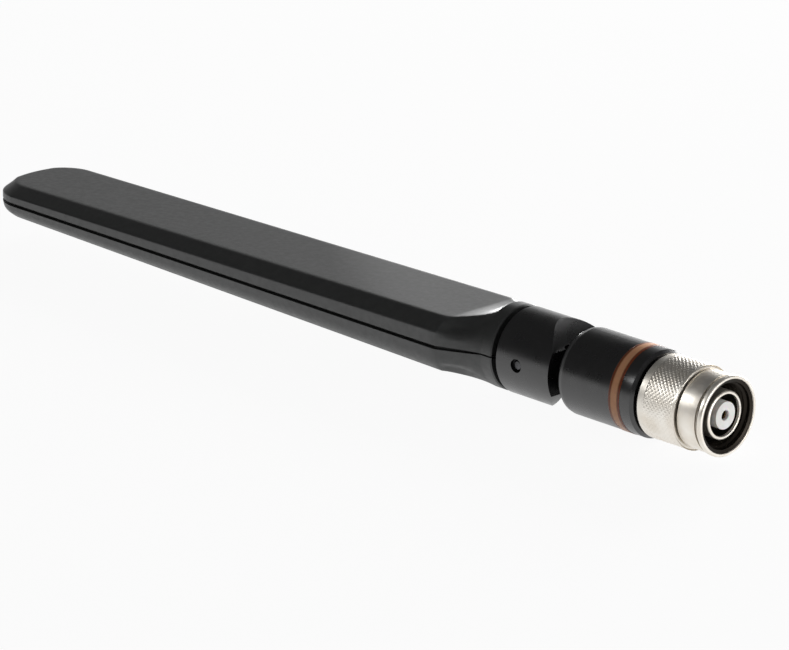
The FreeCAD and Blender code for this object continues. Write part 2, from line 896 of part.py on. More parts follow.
def make_coax_lead():
    """The lead, one piece: jacket through the hinge, bared to core and wire at both ends."""
    wire_front = contact_rear - contact_cup_length
    jacket_front = tail_rear
    jacket_rear = board_front - lead_core_bare
    return turned([
        (wire_front, 0),
        (wire_front, wire_radius),
        (insulator_rear, wire_radius),
        (insulator_rear, core_radius),
        (jacket_front, core_radius),
        (jacket_front, jacket_radius),
        (jacket_rear, jacket_radius),
        (jacket_rear, core_radius),
        (lead_core_rear, core_radius),
        (lead_core_rear, wire_radius),
        (lead_wire_rear, wire_radius),
        (lead_wire_rear, 0),
    ])


PIECES = {
    "upper_shell": make_upper_shell,
    "lower_shell": make_lower_shell,
    "circuit_board": make_circuit_board,
    "front_copper": make_front_copper,
    "back_copper": make_back_copper,
    "feed_solder": make_feed_solder,
    "foam_pad": make_foam_pad,
    "hinge_fork": make_hinge_fork,
    "hinge_pins": make_hinge_pins,
    "friction_washers": make_friction_washers,
    "swivel_barrel": make_swivel_barrel,
    "colour_band": make_colour_band,
    "swivel_clip": make_swivel_clip,
    "swivel_seal": make_swivel_seal,
    "connector_body": make_connector_body,
    "insulator": make_insulator,
    "centre_contact": make_centre_contact,
    "crimp_ferrule": make_crimp_ferrule,
    "nut_snap_ring": make_nut_snap_ring,
    "face_gasket": make_face_gasket,
    "coupling_nut": make_coupling_nut,
    "coax_lead": make_coax_lead,
}

os.makedirs("parts", exist_ok=True)
for name, make in PIECES.items():
    piece = make()
    piece.exportStep("parts/" + name + ".step")
    print(name, piece.isValid(), len(piece.Solids), round(piece.Volume, 2))
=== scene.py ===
# Articulated blade antenna, dressed for its looks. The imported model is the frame: every piece
# below stands where that model has it, in metres, with +X out of the plug's mouth and +Z
# square to the blade's face. Sizes are given in millimetres, "behind" means along -X.

import math

import bmesh
import bpy
import numpy as np
from mathutils import Matrix, Vector


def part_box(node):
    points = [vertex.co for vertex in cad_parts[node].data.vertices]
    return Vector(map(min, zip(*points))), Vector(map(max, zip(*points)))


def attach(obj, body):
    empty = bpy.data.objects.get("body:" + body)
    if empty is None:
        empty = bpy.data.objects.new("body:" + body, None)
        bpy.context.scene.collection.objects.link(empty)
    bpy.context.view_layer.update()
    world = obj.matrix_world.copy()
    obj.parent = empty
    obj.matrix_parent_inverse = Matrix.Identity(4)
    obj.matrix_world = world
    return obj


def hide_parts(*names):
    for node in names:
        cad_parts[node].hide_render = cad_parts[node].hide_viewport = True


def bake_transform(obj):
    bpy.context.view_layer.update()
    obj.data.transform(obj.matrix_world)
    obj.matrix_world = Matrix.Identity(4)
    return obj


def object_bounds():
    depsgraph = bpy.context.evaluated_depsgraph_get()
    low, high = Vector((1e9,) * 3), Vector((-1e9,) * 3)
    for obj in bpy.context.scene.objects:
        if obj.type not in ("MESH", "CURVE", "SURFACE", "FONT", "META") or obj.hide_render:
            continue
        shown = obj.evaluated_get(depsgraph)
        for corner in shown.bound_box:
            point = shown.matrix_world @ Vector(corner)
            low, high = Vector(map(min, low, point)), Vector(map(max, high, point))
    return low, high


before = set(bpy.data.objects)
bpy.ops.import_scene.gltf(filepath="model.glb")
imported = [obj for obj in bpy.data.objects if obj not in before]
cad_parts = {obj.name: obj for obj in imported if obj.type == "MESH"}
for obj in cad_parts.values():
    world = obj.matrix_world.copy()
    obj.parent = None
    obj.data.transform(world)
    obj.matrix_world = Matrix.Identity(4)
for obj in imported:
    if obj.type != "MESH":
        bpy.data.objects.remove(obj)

cad_low, cad_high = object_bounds()

# Connector body
# The plug's body is turned from brass bar and nickel plated. Its front end is the contact
# sleeve, the bright ring inside the coupling nut; its stem runs back into the barrel.
mm = 0.001
merge_distance = 0.0005 * mm
sharp_angle = math.radians(38)


def softened(outline, reach, steps=4):
    """A closed outline with its corners eased. A corner C and the points A and B at the reach
    on either side of it give the parabola (1-t)^2 A + 2t(1-t) C + t^2 B."""
    corners = np.array(outline, float)
    before = np.roll(corners, 1, axis=0) - corners
    after = np.roll(corners, -1, axis=0) - corners
    length_before = np.linalg.norm(before, axis=1, keepdims=True)
    length_after = np.linalg.norm(after, axis=1, keepdims=True)
    a = corners + before * np.minimum(reach / length_before, 0.4)
    b = corners + after * np.minimum(reach / length_after, 0.4)
    t = np.linspace(0, 1, steps)[:, None, None]
    eased = (1 - t) ** 2 * a + 2 * t * (1 - t) * corners + t ** 2 * b
    return eased.transpose(1, 0, 2).reshape(-1, 2)


def turned(outline, around):
    """An outline of (behind, radius) pairs turned about the axis. At the angle a the point is
    at (-behind, radius cos a, radius sin a)."""
    angle = np.arange(around) / around * 2 * math.pi
    behind, radius = outline[:, :1], outline[:, 1:]
    return np.stack([-behind + 0 * angle, radius * np.cos(angle), radius * np.sin(angle)], -1)


def skin(name, grids, material):
    """One mesh from grids of points in millimetres. Each grid comes with whether its last row
    meets its first and its last column its first; quads join neighbours, points that
    coincide are merged, and the closed skin is turned outwards."""
    corners, quads, first = [], [], 0
    for points, rows_meet, columns_meet in grids:
        rows, columns = points.shape[:2]
        index = first + np.arange(rows * columns).reshape(rows, columns)
        if rows_meet:
            index = np.vstack([index, index[:1]])
        if columns_meet:
            index = np.hstack([index, index[:, :1]])
        quad = [index[:-1, :-1], index[:-1, 1:], index[1:, 1:], index[1:, :-1]]
        quads.append(np.stack(quad, -1).reshape(-1, 4))
        corners.append(points.reshape(-1, 3) * mm)
        first += rows * columns
    mesh = bpy.data.meshes.new(name)
    mesh.from_pydata(np.vstack(corners), [], np.vstack(quads).tolist())
    net = bmesh.new()
    net.from_mesh(mesh)
    bmesh.ops.remove_doubles(net, verts=net.verts, dist=merge_distance)
    bmesh.ops.recalc_face_normals(net, faces=net.faces)
    net.to_mesh(mesh)
    net.free()
    mesh.shade_smooth()
    mesh.set_sharp_from_angle(angle=sharp_angle)
    mesh.materials.append(material)
    made = bpy.data.objects.new(name, mesh)
    bpy.context.scene.collection.objects.link(made)
    return made


def finish(name, colour, roughness, metallic=0.0, shine=0.5):
    """A material whose shader has that colour, roughness and shine set on its own sockets."""
    material = bpy.data.materials.new(name)
    material.use_nodes = True
    shader = material.node_tree.nodes["Principled BSDF"]
    shader.inputs["Base Color"].default_value = (*colour, 1)
    shader.inputs["Roughness"].default_value = roughness
    shader.inputs["Metallic"].default_value = metallic
    shader.inputs["Specular IOR Level"].default_value = shine
    return material


def noise(material, size, detail=2.0, stretch=(1, 1, 1)):
    """Noise on the piece's own coordinates. Size is that of its grains, in millimetres, and
    stretch draws them out along each axis. Gives the texture's node."""
    tree = material.node_tree
    place = tree.nodes.new("ShaderNodeTexCoord")
    scale = tree.nodes.new("ShaderNodeMapping")
    scale.inputs["Scale"].default_value = [1 / (size * mm * s) for s in stretch]
    texture = tree.nodes.new("ShaderNodeTexNoise")
    texture.inputs["Scale"].default_value = 1
    texture.inputs["Detail"].default_value = detail
    tree.links.new(place.outputs["Object"], scale.inputs["Vector"])
    tree.links.new(scale.outputs["Vector"], texture.inputs["Vector"])
    return texture


def vary(material, texture, socket, low, high):
    """Let a texture move a plain number of the shader between two values."""
    tree = material.node_tree
    spread = tree.nodes.new("ShaderNodeMapRange")
    spread.inputs["From Min"].default_value = 0.3
    spread.inputs["From Max"].default_value = 0.7
    spread.inputs["To Min"].default_value = low
    spread.inputs["To Max"].default_value = high
    tree.links.new(texture.outputs["Fac"], spread.inputs["Value"])
    tree.links.new(spread.outputs["Result"], tree.nodes["Principled BSDF"].inputs[socket])


def tint(material, texture, dark, light):
    """Let a texture move the shader's colour between two colours."""
    tree = material.node_tree
    ramp = tree.nodes.new("ShaderNodeValToRGB")
    ramp.color_ramp.elements[0].position = 0.3
    ramp.color_ramp.elements[0].color = (*dark, 1)
    ramp.color_ramp.elements[1].position = 0.7
    ramp.color_ramp.elements[1].color = (*light, 1)
    tree.links.new(texture.outputs["Fac"], ramp.inputs["Fac"])
    tree.links.new(ramp.outputs["Color"], tree.nodes["Principled BSDF"].inputs["Base Color"])


def emboss(material, texture, height):
    """Let a texture raise the surface by up to a height in millimetres, over any other relief."""
    tree = material.node_tree
    shader = tree.nodes["Principled BSDF"]
    relief = tree.nodes.new("ShaderNodeBump")
    relief.inputs["Strength"].default_value = 1
    relief.inputs["Distance"].default_value = height * mm
    under = shader.inputs["Normal"].links
    if under:
        tree.links.new(under[0].from_socket, relief.inputs["Normal"])
    tree.links.new(texture.outputs["Fac"], relief.inputs["Height"])
    tree.links.new(relief.outputs["Normal"], shader.inputs["Normal"])


def plated(name, dark_radius, dark_front):
    """Satin nickel plate, a little warm. Within a radius of the axis, and from a depth behind
    the mouth on, its colour is painted near black, as painted shade in a bore."""
    material = finish(name, (0.84, 0.80, 0.74), 0.42, 0.9)
    tint(material, noise(material, 3.0), (0.86, 0.80, 0.71), (0.95, 0.91, 0.84))
    vary(material, noise(material, 1.2), "Roughness", 0.37, 0.48)
    emboss(material, noise(material, 0.9), 0.003)
    tree = material.node_tree
    colour = tree.nodes["Principled BSDF"].inputs["Base Color"]
    place = tree.nodes.new("ShaderNodeTexCoord")
    across = tree.nodes.new("ShaderNodeVectorMath")
    across.operation = "MULTIPLY"
    across.inputs[1].default_value = (0, 1, 1)
    radius = tree.nodes.new("ShaderNodeVectorMath")
    radius.operation = "LENGTH"
    inside = tree.nodes.new("ShaderNodeMath")
    inside.operation = "LESS_THAN"
    inside.inputs[1].default_value = dark_radius * mm
    parts = tree.nodes.new("ShaderNodeSeparateXYZ")
    behind = tree.nodes.new("ShaderNodeMath")
    behind.operation = "LESS_THAN"
    behind.inputs[1].default_value = -dark_front * mm
    both = tree.nodes.new("ShaderNodeMath")
    both.operation = "MULTIPLY"
    # Painted shade: within the radius and behind the depth the colour is mixed to near black.
    painted_shade_mix = tree.nodes.new("ShaderNodeMix")
    painted_shade_mix.data_type = "RGBA"
    painted_shade_mix.inputs["B"].default_value = (0.022, 0.018, 0.014, 1)
    tree.links.new(place.outputs["Object"], across.inputs[0])
    tree.links.new(across.outputs["Vector"], radius.inputs[0])
    tree.links.new(radius.outputs["Value"], inside.inputs[0])
    tree.links.new(place.outputs["Object"], parts.inputs["Vector"])
    tree.links.new(parts.outputs["X"], behind.inputs[0])
    tree.links.new(inside.outputs[0], both.inputs[0])
    tree.links.new(behind.outputs[0], both.inputs[1])
    tree.links.new(both.outputs[0], painted_shade_mix.inputs["Factor"])
    tree.links.new(colour.links[0].from_socket, painted_shade_mix.inputs["A"])
    tree.links.new(painted_shade_mix.outputs["Result"], colour)
    return material


sleeve_front = -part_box("connector_body")[1].x / mm
body_rear = -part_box("connector_body")[0].x / mm
flange_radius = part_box("connector_body")[1].z / mm
sleeve_radius = 4.05
sleeve_bore = 3.5
sleeve_chamfer = 0.2
sleeve_length = 5.6
relief_length = 0.7
flange_length = 2.2
stem_radius = 4.6
stem_length = 11.2
tail_radius = 1.3
tail_bore = 0.5
# Painted shade: within the bore's radius, from half a millimetre behind the sleeve's front, the body's
# colour is painted near black.
painted_shade_margin = 0.06
painted_shade_start = 0.5
nickel = plated("nickel_body_painted_bore_shade", sleeve_bore + painted_shade_margin, sleeve_front + painted_shade_start)
flange_front = sleeve_front + sleeve_length + relief_length
stem_rear = flange_front + flange_length + stem_length
body_outline = [
    (sleeve_front, sleeve_bore), (sleeve_front, sleeve_radius - sleeve_chamfer),
    (sleeve_front + sleeve_chamfer, sleeve_radius), (flange_front, sleeve_radius),
    (flange_front, flange_radius), (flange_front + flange_length, flange_radius),
    (flange_front + flange_length, stem_radius), (stem_rear, stem_radius),
    (stem_rear, tail_radius), (body_rear, tail_radius), (body_rear, tail_bore),
    (flange_front + flange_length, tail_bore), (flange_front + flange_length, sleeve_bore),
]
body_grid = turned(softened(body_outline, 0.12), 160)
plug_body = skin("plug_body", [(body_grid, True, True)], nickel)
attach(plug_body, "connector")
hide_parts("connector_body")

# Insulator and centre contact
# The white insulator is turned from a waxy fluoroplastic and pressed into the body. A gilt
# spring socket stands in it, behind the small hole in its face.
white_plastic = finish("insulator_white", (0.84, 0.83, 0.80), 0.42)
tint(white_plastic, noise(white_plastic, 1.5), (0.80, 0.79, 0.75), (0.87, 0.86, 0.84))
waxy = white_plastic.node_tree.nodes["Principled BSDF"]
waxy.inputs["Subsurface Weight"].default_value = 0.15
waxy.inputs["Subsurface Scale"].default_value = 0.6 * mm
emboss(white_plastic, noise(white_plastic, 0.06, 1.0, (1, 30, 30)), 0.003)

insulator_front = -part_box("insulator")[1].x / mm
insulator_rear = -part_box("insulator")[0].x / mm
insulator_radius = 2.3
insulator_root_radius = 3.47
entry_radius = 0.8
entry_flare = 0.14
insulator_tail_radius = 2.0
contact_seat_radius = 1.06
contact_depth = 0.7
contact_front = insulator_front + contact_depth
insulator_outline = [
    (insulator_front, entry_radius + entry_flare), (insulator_front, insulator_radius),
    (flange_front, insulator_radius), (flange_front, insulator_root_radius),
    (flange_front + flange_length, insulator_root_radius),
    (flange_front + flange_length, insulator_tail_radius), (insulator_rear, insulator_tail_radius),
    (insulator_rear, contact_seat_radius), (contact_front, contact_seat_radius),
    (contact_front, entry_radius), (insulator_front + entry_flare, entry_radius),
]
insulator_grid = turned(softened(insulator_outline, 0.1), 128)
insulator = skin("white_insulator", [(insulator_grid, True, True)], white_plastic)
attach(insulator, "connector")
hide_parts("insulator")

# The contact is gilt, and its colour is painted far darker than gold, as painted shade at the bottom of the
# entry hole.
gilt = finish("contact_gilt_painted_shade", (0.17, 0.095, 0.04), 0.34, 1.0)
vary(gilt, noise(gilt, 0.8), "Roughness", 0.22, 0.36)
contact_rear = -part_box("centre_contact")[0].x / mm
contact_radius = 1.04
contact_bore = 0.685
contact_bore_length = 4.0
contact_mouth = contact_front + 0.02
contact_outline = [
    (contact_mouth, contact_bore), (contact_mouth, contact_radius),
    (contact_rear, contact_radius), (contact_rear, 0.0),
    (contact_front + contact_bore_length, 0.0), (contact_front + contact_bore_length, contact_bore),
]
contact_grid = turned(softened(contact_outline, 0.06), 64)
contact = skin("gilt_contact", [(contact_grid, True, True)], gilt)
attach(contact, "connector")
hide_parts("centre_contact")

# Hidden rings and crimp of the plug
# The snap ring and the swivel's clip are stamped from spring bronze, the gasket and the seal
# are rubber, and the ferrule is a soft nickel-plated tube crimped over the tail.
def dress(node, material):
    """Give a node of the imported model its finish."""
    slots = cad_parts[node].data.materials
    slots.clear()
    slots.append(material)


bronze = finish("spring_bronze", (0.56, 0.38, 0.20), 0.35, 1.0)
vary(bronze, noise(bronze, 1.0), "Roughness", 0.28, 0.45)
rubber = finish("seal_rubber", (0.018, 0.018, 0.019), 0.62)
vary(rubber, noise(rubber, 0.6), "Roughness", 0.52, 0.72)
emboss(rubber, noise(rubber, 0.15), 0.01)
dress("nut_snap_ring", bronze)
dress("swivel_clip", bronze)
dress("face_gasket", rubber)
dress("swivel_seal", rubber)
dress("crimp_ferrule", nickel)

# Coupling nut
# Turned from brass and nickel plated: a lip, a smooth nose between two grooves, a rolled
# diamond knurl for the fingers, and inside it a fine thread of 28 turns to the inch.
nut_low, nut_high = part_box("coupling_nut")
nut_length = (nut_high.x - nut_low.x) / mm
nut_radius = nut_high.z / mm
nose_radius = 6.5
lip_radius = 6.7
mouth_radius = 6.15
mouth_depth = 0.25
mouth_chamfer = 0.15
lip_length = 0.8
lip_chamfer = 0.2
nose_front = 1.45
nose_rear = 5.1
lip_groove_radius = nose_radius - 0.4
nose_groove_radius = nose_radius - 0.5
knurl_front = 5.5
knurl_chamfer = 0.25
knurl_rear = nut_length - 1.5
land_radius = nut_radius - 0.02
rear_chamfer = 0.35
ring_bore = 4.66
ring_seat = 9.4
cavity_radius = 5.85
knurls_around = 56
knurl_pitch = 0.8
knurl_depth = 0.085
steps_per_knurl = 8
thread_pitch = 25.4 / 28
thread_major = 5.56
thread_minor = 5.15
thread_front = 0.75
thread_rear = 5.55
thread_relief = thread_rear + 0.1
steps_per_turn = 12
nut_around = knurls_around * steps_per_knurl


def fade(along, front, rear, run):
    """Rises from 0 at the front to 1 within a run, and falls back to 0 at the rear."""
    return np.clip(np.minimum(along - front, rear - along) / run, 0, 1)


def nut_grid():
    """The nut's skin, its outline turned about the axis. On the grip the radius falls in two
    crossing families of helical grooves, |2 frac(k a/2pi +- behind/pitch) - 1| each, and the
    greater depth counts. In the bore it follows one helix, behind/pitch + a/2pi. The open
    runs are eased as if they were closed, and what that adds at their ends is cut off."""
    outside = softened([
        (0.0, mouth_radius), (0.0, lip_radius - lip_chamfer), (lip_chamfer, lip_radius),
        (lip_length, lip_radius), (lip_length, lip_groove_radius),
        (nose_front, lip_groove_radius), (nose_front, nose_radius),
        (nose_rear, nose_radius), (nose_rear, nose_groove_radius),
        (knurl_front, nose_groove_radius), (knurl_front, nut_radius - knurl_chamfer),
        (knurl_front + knurl_chamfer, nut_radius), (knurl_front + 0.4, nut_radius),
    ], 0.07)[:-2]
    rows = int((knurl_rear - knurl_front) / knurl_pitch * steps_per_knurl)
    grip = np.linspace(knurl_front, knurl_rear, rows)
    grip = np.stack([grip, 0 * grip + nut_radius], -1)
    rear = softened([
        (knurl_rear, land_radius), (nut_length - rear_chamfer, land_radius),
        (nut_length, nut_radius - 0.4), (nut_length, ring_bore),
        (ring_seat, ring_bore), (ring_seat, cavity_radius), (thread_relief, cavity_radius),
        (thread_relief, thread_major),
    ], 0.08)[3:-2]
    rows = int((thread_rear - thread_front) / thread_pitch * steps_per_turn)
    bore = np.linspace(thread_rear, thread_front, rows)
    bore = np.stack([bore, 0 * bore + thread_major], -1)
    mouth = [(mouth_depth + mouth_chamfer, thread_major), (mouth_depth, mouth_radius - 0.1)]
    outline = np.vstack([outside, grip, rear, bore, mouth])
    points = turned(outline, nut_around)
    angle = np.arange(nut_around) / nut_around
    behind = outline[:, :1]
    radius = outline[:, 1:] + 0 * angle
    on_grip = slice(len(outside), len(outside) + len(grip))
    in_bore = slice(len(outline) - len(bore) - len(mouth), len(outline) - len(mouth))
    turn = behind / knurl_pitch
    left = np.abs(2 * ((knurls_around * angle + turn) % 1) - 1)
    right = np.abs(2 * ((knurls_around * angle - turn) % 1) - 1)
    groove = np.maximum(left, right)
    grip_fade = fade(behind, knurl_front, knurl_rear, 0.3)
    radius[on_grip] -= (knurl_depth * np.clip(1.15 * groove - 0.15, 0, 1) * grip_fade)[on_grip]
    ridge = 1 - np.abs(2 * ((behind / thread_pitch + angle) % 1) - 1)
    ridge = np.clip(1.25 * ridge - 0.125, 0, 1) * fade(behind, thread_front, thread_rear, 0.4)
    radius[in_bore] -= ((thread_major - thread_minor) * ridge)[in_bore]
    turned_by = angle * 2 * math.pi
    return np.stack([-behind + 0 * angle, radius * np.cos(turned_by), radius * np.sin(turned_by)], -1)


# Painted shade: within 6.1 mm of the axis, in the mouth, along the thread and on the floor of the groove
# behind the nose, the nut's colour is painted near black.
nut_nickel = plated("nickel_nut_painted_bore_shade", mouth_radius - 0.05, mouth_depth - 0.1)
nut = skin("knurled_nut", [(nut_grid(), True, True)], nut_nickel)
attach(nut, "nut")
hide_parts("coupling_nut")

# Coaxial lead
# A thin lead in a brown jacket runs from the contact through the swivel and the hinge to
# the board. It is soft enough to bend where it passes between the two hinge pins.
brown_jacket = finish("lead_jacket", (0.16, 0.07, 0.035), 0.4)
vary(brown_jacket, noise(brown_jacket, 0.8), "Roughness", 0.32, 0.5)
lead_front = -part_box("coax_lead")[1].x / mm
lead_rear = -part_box("coax_lead")[0].x / mm
jacket_front = stem_rear + 3.0
jacket_rear = 58.5
bared_wire = 2.3
bend_front = 35.6
bend_rear = 43.0
jacket_radius = 0.9
core_radius = 0.45
wire_radius = 0.25
bend_steps = 60
inside_bend = [(behind, jacket_radius) for behind in np.linspace(bend_front, bend_rear, bend_steps)]
lead_outline = np.array([
    (lead_front, 0.0), (lead_front, wire_radius), (insulator_rear, wire_radius),
    (insulator_rear, core_radius), (jacket_front, core_radius), (jacket_front, jacket_radius),
] + inside_bend + [
    (jacket_rear, jacket_radius), (jacket_rear, core_radius), (lead_rear - bared_wire, core_radius),
    (lead_rear - bared_wire, wire_radius), (lead_rear, wire_radius), (lead_rear, 0.0),
])
lead = skin("lead", [(turned(lead_outline, 32), False, True)], brown_jacket)
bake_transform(lead)
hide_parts("coax_lead")

# Swivel barrel
# Injection moulded in black nylon, with a slightly satin skin. It turns on the plug's stem
# and ends in a tongue with a round eye that stands between the fork's cheeks.
hinge_black = finish("hinge_black", (0.010, 0.010, 0.011), 0.29, shine=1.0)
tint(hinge_black, noise(hinge_black, 5.0), (0.008, 0.008, 0.009), (0.013, 0.0125, 0.0135))
vary(hinge_black, noise(hinge_black, 2.5), "Roughness", 0.25, 0.33)
emboss(hinge_black, noise(hinge_black, 0.22), 0.005)
dress("swivel_barrel", hinge_black)

# Colour band
# A thin ring moulded in orange plastic and snapped into a groove round the barrel. It has
# a low flange to each side and stands a few hundredths proud. Its colour carries a painted
# highlight along the middle and painted shade towards its edges.
band_low, band_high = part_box("colour_band")
band_front, band_rear = -band_high.x / mm, -band_low.x / mm
band_radius = band_high.z / mm
band_thickness = 0.56
band_seat = band_radius - band_thickness
flange_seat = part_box("swivel_barrel")[1].z / mm + 0.01
band_flange = 0.6
band_edge = 0.1
orange = finish("band_orange", (0.66, 0.20, 0.06), 0.36)
emboss(orange, noise(orange, 0.3), 0.006)
tree = orange.node_tree
place = tree.nodes.new("ShaderNodeTexCoord")
parts = tree.nodes.new("ShaderNodeSeparateXYZ")
off_middle = tree.nodes.new("ShaderNodeMath")
off_middle.operation = "ADD"
off_middle.inputs[1].default_value = (band_front + band_rear) / 2 * mm
to_edge = tree.nodes.new("ShaderNodeMath")
to_edge.operation = "ABSOLUTE"
share = tree.nodes.new("ShaderNodeMath")
share.operation = "MULTIPLY"
share.inputs[1].default_value = 1 / (((band_rear - band_front) / 2 + band_flange) * mm)
# Painted highlight and shade: light orange in the middle of the band, dark brown towards its edges.
band_highlight_and_shade = tree.nodes.new("ShaderNodeValToRGB")
band_highlight_and_shade.color_ramp.elements[0].position = 0.42
band_highlight_and_shade.color_ramp.elements[0].color = (1.0, 0.50, 0.26, 1)
band_highlight_and_shade.color_ramp.elements[1].position = 0.66
band_highlight_and_shade.color_ramp.elements[1].color = (0.26, 0.055, 0.012, 1)
tree.links.new(place.outputs["Object"], parts.inputs["Vector"])
tree.links.new(parts.outputs["X"], off_middle.inputs[0])
tree.links.new(off_middle.outputs[0], to_edge.inputs[0])
tree.links.new(to_edge.outputs[0], share.inputs[0])
tree.links.new(share.outputs[0], band_highlight_and_shade.inputs["Fac"])
tree.links.new(band_highlight_and_shade.outputs["Color"], tree.nodes["Principled BSDF"].inputs["Base Color"])
band_outline = [
    (band_front, band_seat), (band_front, flange_seat),
    (band_front - band_flange, flange_seat), (band_front - band_flange + band_edge, band_radius),
    (band_rear + band_flange - band_edge, band_radius), (band_rear + band_flange, flange_seat),
    (band_rear, flange_seat), (band_rear, band_seat),
]
band_grid = turned(softened(band_outline, 0.1), 192)
band = skin("orange_band", [(band_grid, True, True)], orange)
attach(band, "base")
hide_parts("colour_band")

# Hinge fork, pins and washers
# The fork is moulded in the same nylon as the barrel. Two short steel pins, blackened, are
# driven through its cheeks, and bronze washers beside the tongue give the hinge its drag.
dress("hinge_fork", hinge_black)
pin_steel = finish("pin_steel", (0.10, 0.10, 0.105), 0.42, 1.0)
vary(pin_steel, noise(pin_steel, 0.7), "Roughness", 0.32, 0.5)
pin_station = 39.3
pin_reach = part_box("hinge_pins")[1].y / mm
pin_root = 1.5
pin_radius = 1.0
pin_neck = 0.72
neck_front, neck_rear = 0.6, 0.45
pin_outline = softened([
    (pin_root, 0.0), (pin_root, pin_radius), (pin_reach - neck_front, pin_radius),
    (pin_reach - neck_rear, pin_neck), (pin_reach, pin_neck), (pin_reach, 0.0),
], 0.08)[1:-2]
pin_grids = []
for side in (-1, 1):
    along_axis = turned(pin_outline, 40)
    behind, round_y, round_z = np.moveaxis(along_axis, -1, 0)
    placed = np.stack([round_y - pin_station, -side * behind, round_z], -1)
    pin_grids.append((placed, False, True))
pins = skin("blackened_pins", pin_grids, pin_steel)
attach(pins, "blade")
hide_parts("hinge_pins")
dress("friction_washers", bronze)

# Circuit board and what is on it
# A glass-fibre board lies on pegs inside the blade. It carries two foil halves of the
# radiator, the soldered end of the lead, and a foam pad that stops it rattling.
board_green = finish("board_green", (0.05, 0.16, 0.06), 0.38)
tint(board_green, noise(board_green, 0.5, 3.0), (0.04, 0.13, 0.05), (0.07, 0.20, 0.08))
foil = finish("copper_foil", (0.80, 0.42, 0.26), 0.3, 1.0)
vary(foil, noise(foil, 0.7), "Roughness", 0.22, 0.42)
solder = finish("solder", (0.66, 0.66, 0.67), 0.24, 1.0)
vary(solder, noise(solder, 0.4), "Roughness", 0.16, 0.36)
foam = finish("foam_grey", (0.11, 0.11, 0.12), 0.85)
emboss(foam, noise(foam, 0.35, 3.0), 0.12)
dress("circuit_board", board_green)
dress("front_copper", foil)
dress("back_copper", foil)
dress("feed_solder", solder)
dress("foam_pad", foam)

# Blade shells
# Two black mouldings with a fine spark-eroded grain meet on a plane: the face, flat with a
# bevel all round, and the back, with rounded edges. Both draw in to a half collar.
grained_black = finish("shell_black", (0.030, 0.031, 0.031), 0.46, shine=1.0)
tint(grained_black, noise(grained_black, 1.3, 3.0), (0.022, 0.024, 0.0235), (0.036, 0.038, 0.037))
vary(grained_black, noise(grained_black, 0.9, 3.0), "Roughness", 0.42, 0.52)
emboss(grained_black, noise(grained_black, 0.30, 2.0), 0.014)

shell_low, shell_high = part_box("upper_shell")
joint_gap = 1.0
collar_length = 3.3
neck_length = 7.5
collar_front, blade_tip = -shell_high.x / mm + joint_gap, -shell_low.x / mm
half_width = shell_high.y / mm
collar_radius = 7.3
collar_rear = collar_front - joint_gap + collar_length
blade_root = collar_rear + neck_length
collar_chamfer = 0.2
broad_radius = 29.5
corner_radius = 7.0
bevel_width = 2.9
tip_bevel = 0.2
face_root, face_tip = 4.65, 2.75
shoulder_root, shoulder_tip = 2.78, 1.42
floor_root, floor_tip = 4.76, 2.95
shell_wall = 1.6
shell_skin = 1.3
groove_half = 0.3
groove_depth = 0.9
seat_radius, seat_rear = 5.26, 49.6
channel_radius, cavity_front = 1.25, 59.4
neck_hollow = 0.85
neck_ramp = 0.7
side_level_root, side_level_tip = -0.62 * floor_root, -0.55 * floor_tip


def plan_walk():
    """The blade's plan as columns, from the near side of the collar round the tip to its far
    side. Each column has a centre, an outward direction and a reach from the centre: along
    the sides the centre lies on the axis, and round the tip it is the centre of an arc."""
    arc_centre = blade_tip - broad_radius
    corner_across = half_width - corner_radius
    corner_centre = arc_centre + math.sqrt((broad_radius - corner_radius) ** 2 - corner_across ** 2)
    lean = math.atan2(corner_across, corner_centre - arc_centre)
    side = np.concatenate([
        [collar_front, collar_front + collar_chamfer, collar_rear - 0.2],
        np.linspace(collar_rear, blade_root, 31),
        np.linspace(blade_root, corner_centre, 60)[1:],
        [seat_rear, seat_rear + 0.01, cavity_front, cavity_front + 0.01],
    ])
    side = np.sort(side)
    corner = np.linspace(math.pi / 2, lean, 14)[1:]
    broad = np.linspace(lean, 0, 16)[1:]
    centre_x = np.concatenate([side, 0 * corner + corner_centre, 0 * broad + arc_centre])
    centre_y = np.concatenate([0 * side, 0 * corner + corner_across, 0 * broad])
    facing = np.concatenate([0 * side + math.pi / 2, corner, broad])
    reach = np.concatenate([0 * side + half_width, 0 * corner + corner_radius, 0 * broad + broad_radius])
    near = np.stack([centre_x, -centre_y, np.cos(facing), -np.sin(facing), reach], -1)
    far = near[-2::-1] * [1, -1, 1, -1, 1]
    return np.vstack([near, far]), corner_centre


def chain(corners, softness, s):
    """Points along straight runs from corner to corner, s counting the corners. The turn at
    corner k is spread over e = softness[k] to each side by the ramp (s - k + e)^2 / 4e."""
    runs = np.diff(corners, axis=-2)
    points = corners[..., :1, :] + runs[..., :1, :] * s[:, None]
    for k in range(1, corners.shape[-2] - 1):
        e = softness[k]
        ahead = s - k
        ramp = np.where(np.abs(ahead) < e, (ahead + e) ** 2 / (4 * e), np.maximum(ahead, 0))
        points = points + (runs[..., k:k + 1, :] - runs[..., k - 1:k, :]) * ramp[:, None]
    return points


def samples(softness, between):
    """Where a chain is sampled: closely through each soft corner, evenly along each run."""
    places = [np.array([0.0])]
    for k in range(1, len(softness) + 1):
        e = softness[k - 1] if k > 1 else 0
        e_next = softness[k] if k < len(softness) else 0
        if k > 1:
            places.append(np.linspace(k - 1 - e, k - 1 + e, 9))
        places.append(np.linspace(k - 1 + e, k - e_next, between[k - 1] + 2)[1:-1])
    places.append(np.array([float(len(softness))]))
    return np.unique(np.concatenate(places))


